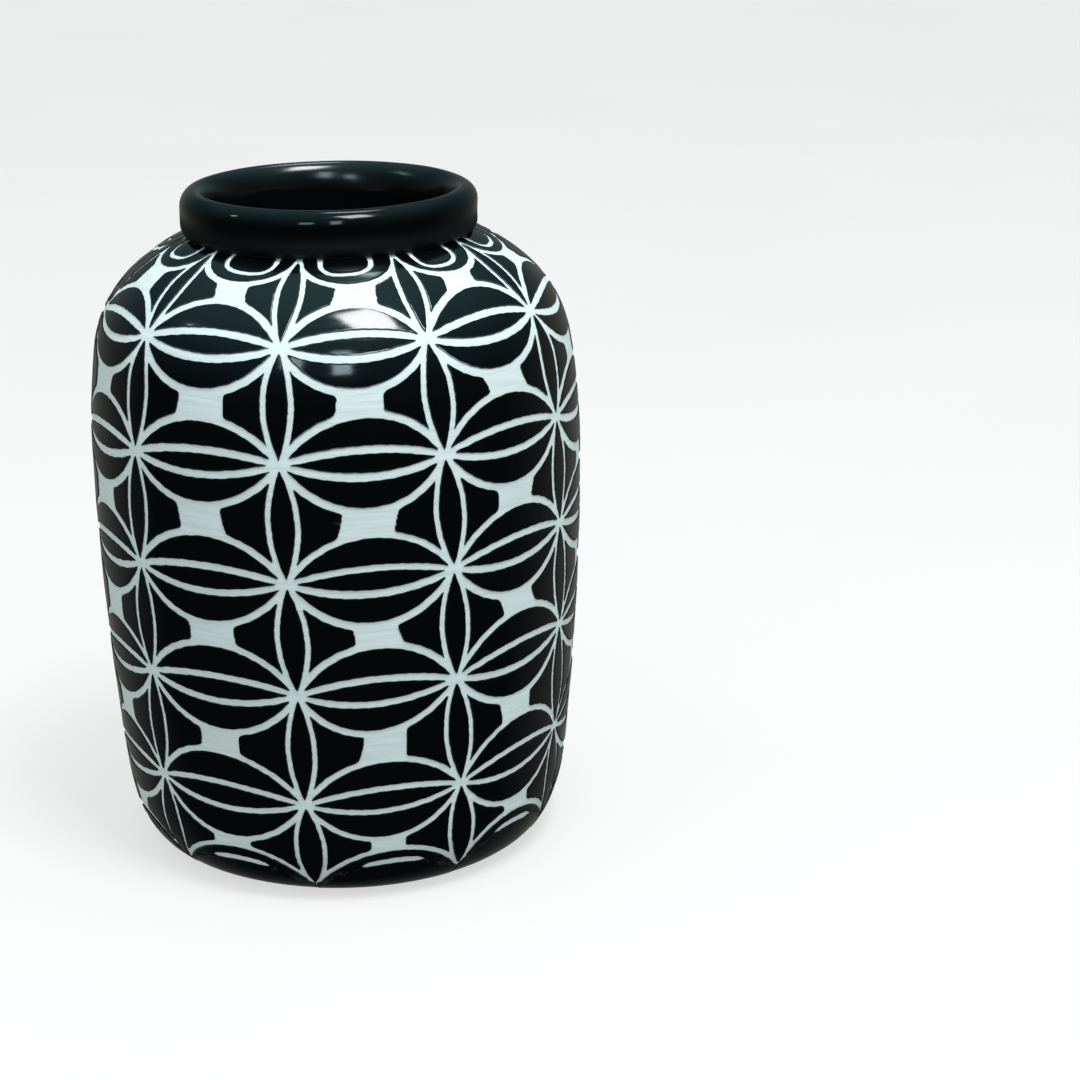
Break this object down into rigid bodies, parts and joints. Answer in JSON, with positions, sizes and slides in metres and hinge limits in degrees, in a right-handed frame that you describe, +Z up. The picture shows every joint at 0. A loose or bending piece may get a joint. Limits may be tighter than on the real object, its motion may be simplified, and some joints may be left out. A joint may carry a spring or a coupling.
{
  "type": "carved black clay pot",
  "caption": "Tall round-shouldered black clay jar with a thick rolled collar and a carved star pattern showing white slip through a glossy black coat.",
  "frame": {"origin": "centre of the flat foot, on the surface that the jar stands on", "axes": "+Z up the jar's axis to the mouth; -Y is the side that faces the viewer"},
  "size_m": [0.1392, 0.1392, 0.19],
  "materials": {
    "bare_clay": "matte unglazed grey-black fired clay",
    "white_slip": "matte pale mint-white slip with fine scrape marks",
    "black_coat": "glossy burnished black coat, carved through",
    "collar_black": "glossy burnished black on the rolled collar",
    "inner_black": "glossy black lining"
  },
  "bodies": {
    "root": {"base_disc": "bare_clay", "lower_wall": "bare_clay", "middle_wall": "bare_clay", "shoulder_wall": "bare_clay", "rolled_collar": "bare_clay", "inner_glaze": "inner_black", "white_slip_lower": "white_slip", "white_slip_upper": "white_slip", "collar_glaze": "collar_black", "shoulder_scallops": "black_coat", "shoulder_cups": "black_coat", "foot_scallops": "black_coat", "foot_cups": "black_coat", "lens_panels_row_1": "black_coat", "upper_lobe_panels_row_1": "black_coat", "lower_lobe_panels_row_1": "black_coat", "lens_panels_row_2": "black_coat", "upper_lobe_panels_row_2": "black_coat", "lower_lobe_panels_row_2": "black_coat", "lens_panels_row_3": "black_coat", "upper_lobe_panels_row_3": "black_coat", "lower_lobe_panels_row_3": "black_coat", "lens_panels_row_4": "black_coat", "upper_lobe_panels_row_4": "black_coat", "lower_lobe_panels_row_4": "black_coat", "lens_panels_row_5": "black_coat", "upper_lobe_panels_row_5": "black_coat", "lower_lobe_panels_row_5": "black_coat", "leaf_panels_band_1": "black_coat", "left_corner_panels_band_1": "black_coat", "right_corner_panels_band_1": "black_coat", "leaf_panels_band_2": "black_coat", "left_corner_panels_band_2": "black_coat", "right_corner_panels_band_2": "black_coat", "leaf_panels_band_3": "black_coat", "left_corner_panels_band_3": "black_coat", "right_corner_panels_band_3": "black_coat", "leaf_panels_band_4": "black_coat", "left_corner_panels_band_4": "black_coat", "right_corner_panels_band_4": "black_coat", "leaf_panels_band_5": "black_coat", "left_corner_panels_band_5": "black_coat", "right_corner_panels_band_5": "black_coat", "leaf_panels_band_6": "black_coat", "left_corner_panels_band_6": "black_coat", "right_corner_panels_band_6": "black_coat"}
  },
  "joints": []
}
